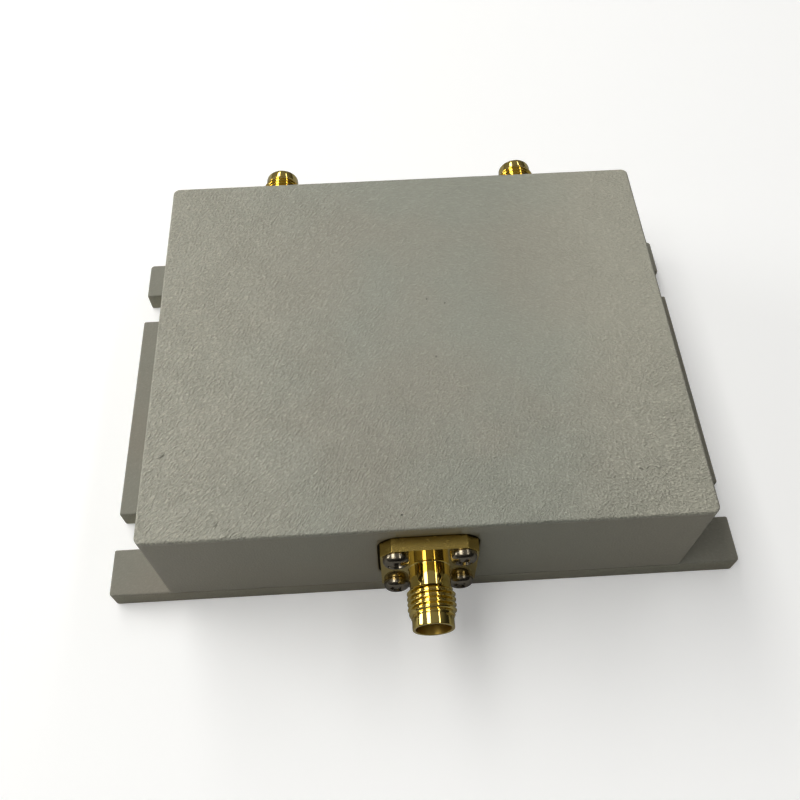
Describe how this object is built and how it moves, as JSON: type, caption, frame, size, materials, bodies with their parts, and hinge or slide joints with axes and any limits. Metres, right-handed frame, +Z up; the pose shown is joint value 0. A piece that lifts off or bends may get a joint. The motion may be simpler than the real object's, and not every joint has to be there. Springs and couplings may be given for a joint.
{
  "type": "rf power divider",
  "caption": "Two-way radio frequency power divider: grey coated metal box on a slotted base plate, one gold coaxial connector in front and two behind.",
  "frame": {"origin": "middle of the footprint on the underside of the base plate: half the width, half the reach from connector tip to connector tip, at the resting plane", "axes": "+X along the housing's width, towards the right when the input connector faces the viewer; +Y from the input connector to the output connectors; +Z up, away from the base plate"},
  "size_m": [0.09, 0.081, 0.0215],
  "materials": {
    "coated_housing": "warm grey powder coat with a coarse orange-peel grain",
    "coated_plate": "warm grey powder coat, smoother than the housing's top",
    "screw_steel": "bright nickel-plated steel",
    "gold_plate": "polished gold plate on brass",
    "insulator_white": "waxy white fluoropolymer",
    "laminate": "woven glass laminate",
    "copper": "bare etched copper",
    "resistor_ceramic": "white alumina",
    "solder_tin": "bright tin solder"
  },
  "bodies": {
    "root": {"housing": "coated_housing", "base_plate": "coated_plate", "base_plate_screws": "screw_steel", "circuit_board": "laminate", "ground_plane": "copper", "copper_tracks": "copper", "board_screws": "screw_steel", "first_isolation_resistor": "resistor_ceramic", "second_isolation_resistor": "resistor_ceramic", "third_isolation_resistor": "resistor_ceramic", "resistor_end_caps": "solder_tin", "resistor_solder": "solder_tin", "input_connector_shell": "gold_plate", "input_insulator": "insulator_white", "input_center_contact": "gold_plate", "input_flange_screws": "screw_steel", "input_solder_joint": "solder_tin", "left_output_connector_shell": "gold_plate", "left_output_insulator": "insulator_white", "left_output_center_contact": "gold_plate", "left_output_flange_screws": "screw_steel", "left_output_solder_joint": "solder_tin", "right_output_connector_shell": "gold_plate", "right_output_insulator": "insulator_white", "right_output_center_contact": "gold_plate", "right_output_flange_screws": "screw_steel", "right_output_solder_joint": "solder_tin"}
  },
  "joints": []
}
